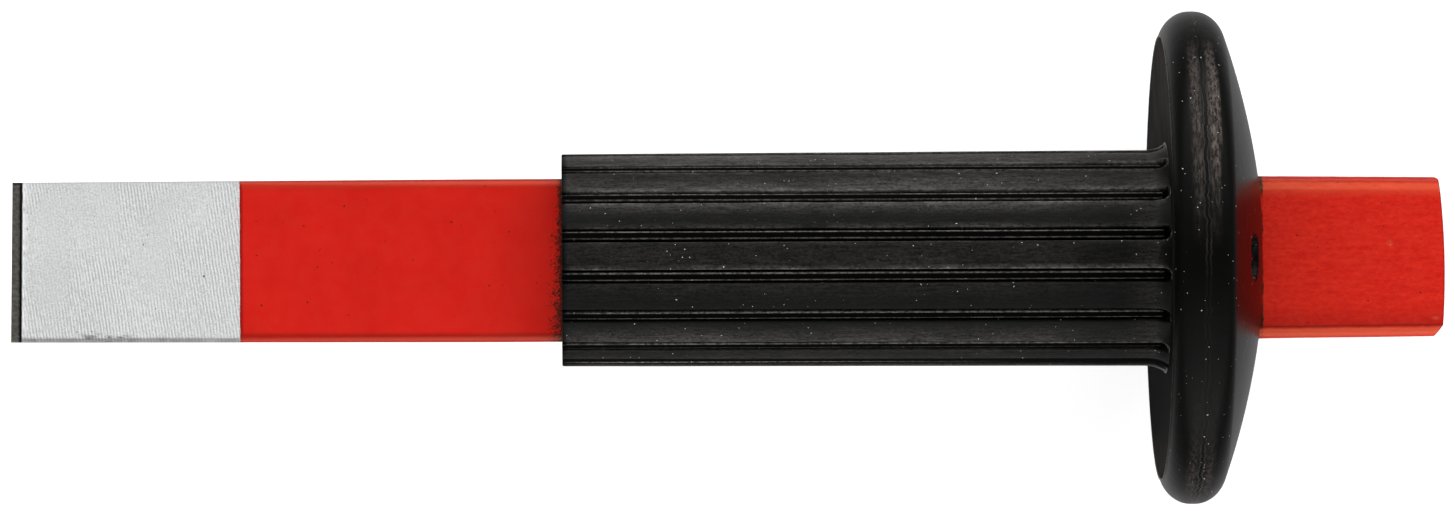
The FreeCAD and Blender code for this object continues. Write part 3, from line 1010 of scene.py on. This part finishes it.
def silver_finish():
    """The ground blade's silver grey finish, with fine slanting lines left by grinding."""
    n = Nodes(bpy.data.materials.new("silver_finish"))
    lines = n.add("ShaderNodeTexWave", bands_direction="X")
    lines.inputs["Scale"].default_value = 590
    lines.inputs["Distortion"].default_value = 1.6
    lines.inputs["Detail"].default_value = 1.0
    lines.inputs["Detail Scale"].default_value = 0.5
    n.link(n.place(turn=(0, 0, math.radians(-8.5))), lines.inputs["Vector"])
    patches = n.ramp(n.noise(110, 2, 0.5, (1, 0.5, 1)), 0.40, 0.62, 0.2, 1.0)
    breaks = n.ramp(n.noise(2200, 2, 0.6, (1, 0.4, 1)), 0.38, 0.58, 0.15, 1.3)
    strength = n.times(patches, breaks)
    ridges = n.times(n.minus(lines.outputs["Fac"], 0.5), strength)
    grain = n.noise(3600, 3, 0.7)
    clouded = n.ramp(n.noise(70, 2), 0.3, 0.7, -0.06, 0.06)
    tone = n.plus(n.times(ridges, 1.05), n.ramp(grain, 0.25, 0.75, 0.08, 0.88))
    tone = n.plus(tone, clouded)
    colour = n.mix(tone, (0.44, 0.445, 0.45, 1), (0.78, 0.785, 0.79, 1))
    pits = n.ramp(n.noise(1500, 1), 0.765, 0.78)
    colour = n.mix(pits, colour, (0.14, 0.14, 0.14, 1))
    # A painted highlight past the bevel, then painted shade along the edges, with burrs and chips
    # on the lower one.
    colour = n.mix(n.attribute("painted_highlight"), colour, (0.92, 0.92, 0.92, 1))
    colour = n.mix(n.attribute("shade_and_dark_marks"), colour, (0.10, 0.10, 0.10, 1))
    # Painted shadow line along the bevel's end.
    colour = n.mix(n.attribute("shadow_lines"), colour, (0.012, 0.012, 0.010, 1))
    relief = n.bump(ridges, 0.00003, 0.9, n.bump(grain, 0.00003, 0.7))
    return n.finish(Base_Color=colour, Roughness=0.5, Normal=relief, Metallic=0.2)


def bevel_steel():
    """The bare ground cutting bevel: steel with grinding lines down to the edge, its dark colour
    a painted reflection of dark surroundings.
    """
    n = Nodes(bpy.data.materials.new("bevel_steel"))
    lines = n.noise(2400, 2, 0.6, (0.06, 1, 1))
    # The dark grey stands in as a painted reflection of dark surroundings.
    colour = n.mix(n.ramp(lines, 0.3, 0.7), (0.096, 0.090, 0.080, 1), (0.158, 0.148, 0.134, 1))
    # Painted shadow lines at the bevel's end and along its upper edge.
    colour = n.mix(n.attribute("shadow_lines"), colour, BLACK)
    relief = n.bump(lines, 0.00003)
    rough = n.ramp(lines, 0.3, 0.7, 0.34, 0.5)
    n.shader.inputs["Specular IOR Level"].default_value = 0.15
    return n.finish(Base_Color=colour, Roughness=rough, Normal=relief, Metallic=0.7)


def parting_line(n):
    """The guard's wandering parting line: how deep in its crack, where painted shade goes, and
    how near its two lips, where painted highlights go.
    """
    spot = n.add("ShaderNodeSeparateXYZ")
    n.link(n.place(), spot.inputs["Vector"])
    wander = n.times(n.minus(n.noise(230, 4, 0.65, (0.05, 1, 1)), 0.5), 0.0021)
    from_middle = n.minus(spot.outputs["X"], (X_EDGE + X_RIM_CENTRE) * MM)
    across = n.math("ABSOLUTE", n.plus(from_middle, wander), 0.0)
    gaps = n.ramp(n.noise(260, 2, 0.5, (0.05, 1, 1)), 0.35, 0.55, 0.35, 1.0)
    inside = n.ramp(across, 0.00011, 0.00029, 1.0, 0.0)
    seam_lip_highlights = n.minus(n.ramp(across, 0.00034, 0.00064, 1.0, 0.0), inside)
    near = n.times(n.attribute("seam"), gaps)
    return n.times(inside, near), n.times(seam_lip_highlights, near)


def black_rubber():
    """Black moulded rubber: dusty lands with painted light and shade, smooth slots and back,
    painted highlights on the lips, a worn rim with painted sheen.
    """
    n = Nodes(bpy.data.materials.new("black_rubber"))
    land, band = n.attribute("land"), n.attribute("band")
    flecks = n.ramp(n.noise(1700, 3, 0.75, (0.6, 1, 1)), 0.4, 0.6, 0.3, 1.3)
    lip = n.times(n.attribute("lip"), flecks)
    crack, crack_lip_highlights = parting_line(n)
    streaks = n.ramp(n.noise(2600, 4, 0.75, (0.12, 1, 1)), 0.36, 0.66)
    mottle = n.ramp(n.noise(2700, 3, 0.75, (0.6, 1, 1)), 0.36, 0.66)
    worn = n.plus(n.times(streaks, 0.5), n.times(mottle, 0.5))
    satin = n.mix(worn, (0.0060, 0.0056, 0.0052, 1), (0.1150, 0.1080, 0.1040, 1))
    # Dust on the lands, scaled by painted light and shade.
    dust_and_shade = n.times(land, n.attribute("tone"))
    colour = n.mix(dust_and_shade, (0.0016, 0.0015, 0.0013, 1), satin)
    # The rim's bands of wear and painted sheen take a mottled brown.
    round_rim = n.ramp(n.noise(2300, 4, 0.75, (1, 0.2, 0.4)), 0.36, 0.66)
    brown = n.mix(round_rim, (0.008, 0.0062, 0.0056, 1), (0.110, 0.092, 0.082, 1))
    colour = n.mix(band, colour, brown)
    # Painted highlights on the parting line's lips.
    colour = n.mix(n.times(crack_lip_highlights, 0.32), colour, (0.085, 0.078, 0.070, 1))
    # Painted highlights on the slots' lips, the beads' edges and the ridge round the guard's
    # front.
    colour = n.mix(lip, colour, (0.145, 0.140, 0.132, 1))
    dust = n.ramp(n.noise(2500, 0.5), 0.805, 0.82)
    colour = n.mix(dust, colour, (0.5, 0.49, 0.46, 1))
    # Painted shade in the parting line's crack.
    colour = n.mix(crack, colour, BLACK)
    # Painted shadow at the grip's free end.
    colour = n.mix(n.ramp(n.attribute("start"), 0.0, 1.0), colour, BLACK)
    grain = n.noise(1400, 3, 0.6)
    relief = n.bump(grain, 0.00004, 0.6, n.bump(n.noise(330, 2), 0.00010, 0.5))
    relief = n.bump(n.times(worn, land), 0.00005, 0.7, relief)
    relief = n.bump(n.times(round_rim, band), 0.00010, 0.7, relief)
    relief = n.bump(n.minus(crack_lip_highlights, crack), 0.00012, 0.8, relief)
    rough = n.plus(n.times(land, 0.12), 0.30)
    rough = n.plus(rough, n.times(band, 0.22))
    n.shader.inputs["Specular IOR Level"].default_value = 0.065
    return n.finish(Base_Color=colour, Roughness=rough, Normal=relief)


def dull_rubber():
    """Rubber with next to no gloss, where nothing rubs it.

    It is on the guard's front, the tops of the beads, the gaps beside them and the grip's
    low edge.
    """
    n = Nodes(bpy.data.materials.new("dull_rubber"))
    cloud = n.ramp(n.noise(160, 4, 0.6), 0.3, 0.7)
    colour = n.mix(cloud, (0.017, 0.0140, 0.0130, 1), (0.032, 0.0270, 0.0245, 1))
    # The tone sets painted light and shade on the guard's front; where it is 0 the rubber is
    # black.
    colour = n.mix(n.attribute("tone"), BLACK, colour)
    relief = n.bump(n.noise(1400, 3, 0.6), 0.00003, 0.6)
    n.shader.inputs["Specular IOR Level"].default_value = 0.015
    return n.finish(Base_Color=colour, Roughness=0.75, Normal=relief)


def pale_floor():
    """A plain pale floor with a faint mottle and a little light of its own."""
    n = Nodes(bpy.data.materials.new("pale_floor"))
    tone = n.ramp(n.noise(14, 3), 0.3, 0.7)
    colour = n.mix(tone, (0.86, 0.86, 0.86, 1), (0.90, 0.90, 0.90, 1))
    n.shader.inputs["Emission Color"].default_value = (1, 1, 1, 1)
    n.shader.inputs["Emission Strength"].default_value = 0.42
    n.shader.inputs["Specular IOR Level"].default_value = 0.2
    return n.finish(Base_Color=colour, Roughness=0.8)


# ------------------------------------------------------- floor, light and camera

# Metres, and degrees for the roll.
FLOOR_HALF = 30.0
FLOOR_GAP = 0.0003
CAMERA_HEIGHT = 1.5
CAMERA_X = -0.025
VIEW_CENTRE = Vector((-0.00005, 0.0007, 0.0))
VIEW_WIDTH = 0.24376
CAMERA_ROLL = -0.246
SENSOR = 36.0

# The light boxes: their brightness, how fast they fade towards the ends, how much brighter
# the +Y one is, and how far below the horizon they reach. Then the table and the room.
BOX_LEVEL = 2.75
BOX_SPREAD = 1.3
BOX_BIAS = 0.2
BOX_FOOT = 0.35
TABLE_LEVEL = 0.42
ROOM_LEVEL = 0.14


def make_floor():
    """The floor just under the guard's rim."""
    half, z = FLOOR_HALF, guard_low.z - FLOOR_GAP
    mesh = bpy.data.meshes.new("floor")
    corners = [(-half, -half, z), (half, -half, z), (half, half, z), (-half, half, z)]
    mesh.from_pydata(corners, [], [(0, 1, 2, 3)])
    floor = bpy.data.objects.new("floor", mesh)
    bpy.context.scene.collection.objects.link(floor)
    mesh.materials.append(pale_floor())
    floor.visible_glossy = False


def make_sky():
    """Studio light: long soft boxes along both sides, dim ends, a dim ceiling, a grey table."""
    world = bpy.data.worlds.new("studio")
    bpy.context.scene.world = world
    n = Nodes(world, "Background")
    coords = n.add("ShaderNodeTexCoord")
    split = n.add("ShaderNodeSeparateXYZ")
    n.link(coords.outputs["Generated"], split.inputs["Vector"])
    across, up = split.outputs["Y"], split.outputs["Z"]
    sideways = n.math("POWER", n.math("ABSOLUTE", across, 0.0), BOX_SPREAD)
    bias = n.plus(n.times(across, BOX_BIAS), 1.0)
    below = n.math("MAXIMUM", n.times(up, -1.0), 0.0)
    above = n.math("MAXIMUM", n.minus(1.0, n.math("DIVIDE", below, BOX_FOOT)), 0.0)
    boxes = n.times(n.times(sideways, bias), n.times(above, above))
    table = n.times(n.times(below, below), TABLE_LEVEL)
    level = n.plus(n.times(boxes, BOX_LEVEL), n.plus(table, ROOM_LEVEL))
    n.finish(Color=(1, 1, 1, 1), Strength=level)


def make_camera():
    """A long-lens camera over the bar's wide face, a little towards the blade."""
    data = bpy.data.cameras.new("camera")
    camera = bpy.data.objects.new("camera", data)
    bpy.context.scene.collection.objects.link(camera)
    camera.location = (CAMERA_X, VIEW_CENTRE.y, CAMERA_HEIGHT)
    towards = VIEW_CENTRE - camera.location
    back = -towards.normalized()
    right = Vector((0, 1, 0)).cross(back).normalized()
    aim = Matrix((right, back.cross(right), back)).transposed()
    roll = Matrix.Rotation(math.radians(CAMERA_ROLL), 3, "Z")
    camera.rotation_euler = (aim @ roll).to_euler()
    data.sensor_width = SENSOR
    data.lens = SENSOR * towards.length / VIEW_WIDTH
    data.clip_start, data.clip_end = 0.01, 100.0
    bpy.context.scene.camera = camera


make_camera()
make_sky()
make_floor()
make_bar()
make_guard()
bpy.context.scene.view_settings.view_transform = "Standard"
